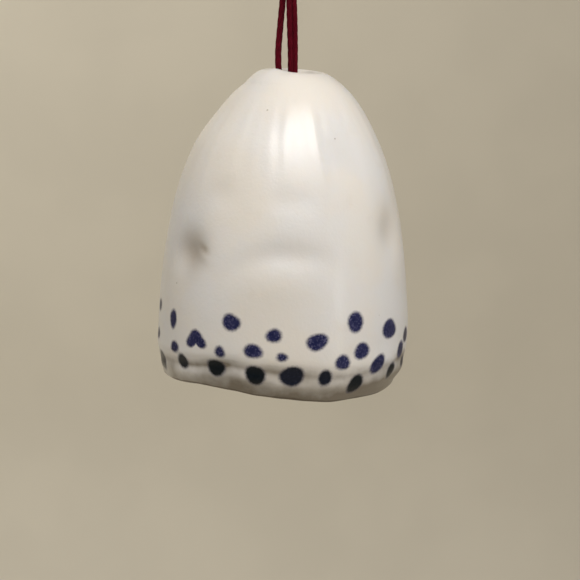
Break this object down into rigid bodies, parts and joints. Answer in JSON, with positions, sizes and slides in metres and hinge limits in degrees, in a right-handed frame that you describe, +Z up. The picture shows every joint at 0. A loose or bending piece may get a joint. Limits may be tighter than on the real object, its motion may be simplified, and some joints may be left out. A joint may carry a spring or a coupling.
{
  "type": "porcelain bell",
  "caption": "Small hand-pinched porcelain hanging bell with a rounded crown, a band of painted dots above an in-turned rim, a yarn hanging loop and a porcelain bead clapper.",
  "frame": {"origin": "inside of the top of the yarn eye, where a hook or twig carries the bell", "axes": "+Z up along the cord, +X to the bell's right, +Y away from a person facing its front"},
  "size_m": [0.045, 0.0448, 0.1232],
  "materials": {
    "glaze": "satin gloss",
    "bead_glaze": "satin gloss",
    "yarn": "matte, twisted"
  },
  "bodies": {
    "hanger": {"hanging_loop": "yarn", "loop_knot": "yarn"},
    "stopper": {"stopper_knot": "yarn"},
    "bell": {"bell_shell": "glaze"},
    "neck": {"clapper_neck": "yarn"},
    "clapper": {"clapper_line": "yarn", "clapper_knot": "yarn", "clapper_tails": "yarn"},
    "bead": {"clapper_bead": "bead_glaze"}
  },
  "joints": [
    {"name": "bell_swing", "type": "hinge", "parent": "hanger", "child": "stopper", "pos_m": [0, 0, -0.06567], "axis": [1, 0, 0], "range_deg": [-12, 12]},
    {"name": "bell_turn", "type": "hinge", "parent": "stopper", "child": "bell", "pos_m": [0, 0, -0.0666], "axis": [0, 0, 1], "continuous": true},
    {"name": "clapper_turn", "type": "hinge", "parent": "stopper", "child": "neck", "pos_m": [0, 0, -0.07299], "axis": [0, 0, 1], "continuous": true},
    {"name": "clapper_swing", "type": "hinge", "parent": "neck", "child": "clapper", "pos_m": [0, 0, -0.07549], "axis": [0, 1, 0], "range_deg": [-19, 19]},
    {"name": "bead_turn", "type": "hinge", "parent": "clapper", "child": "bead", "pos_m": [0, 0, -0.107], "axis": [0, 0, 1], "continuous": true}
  ]
}
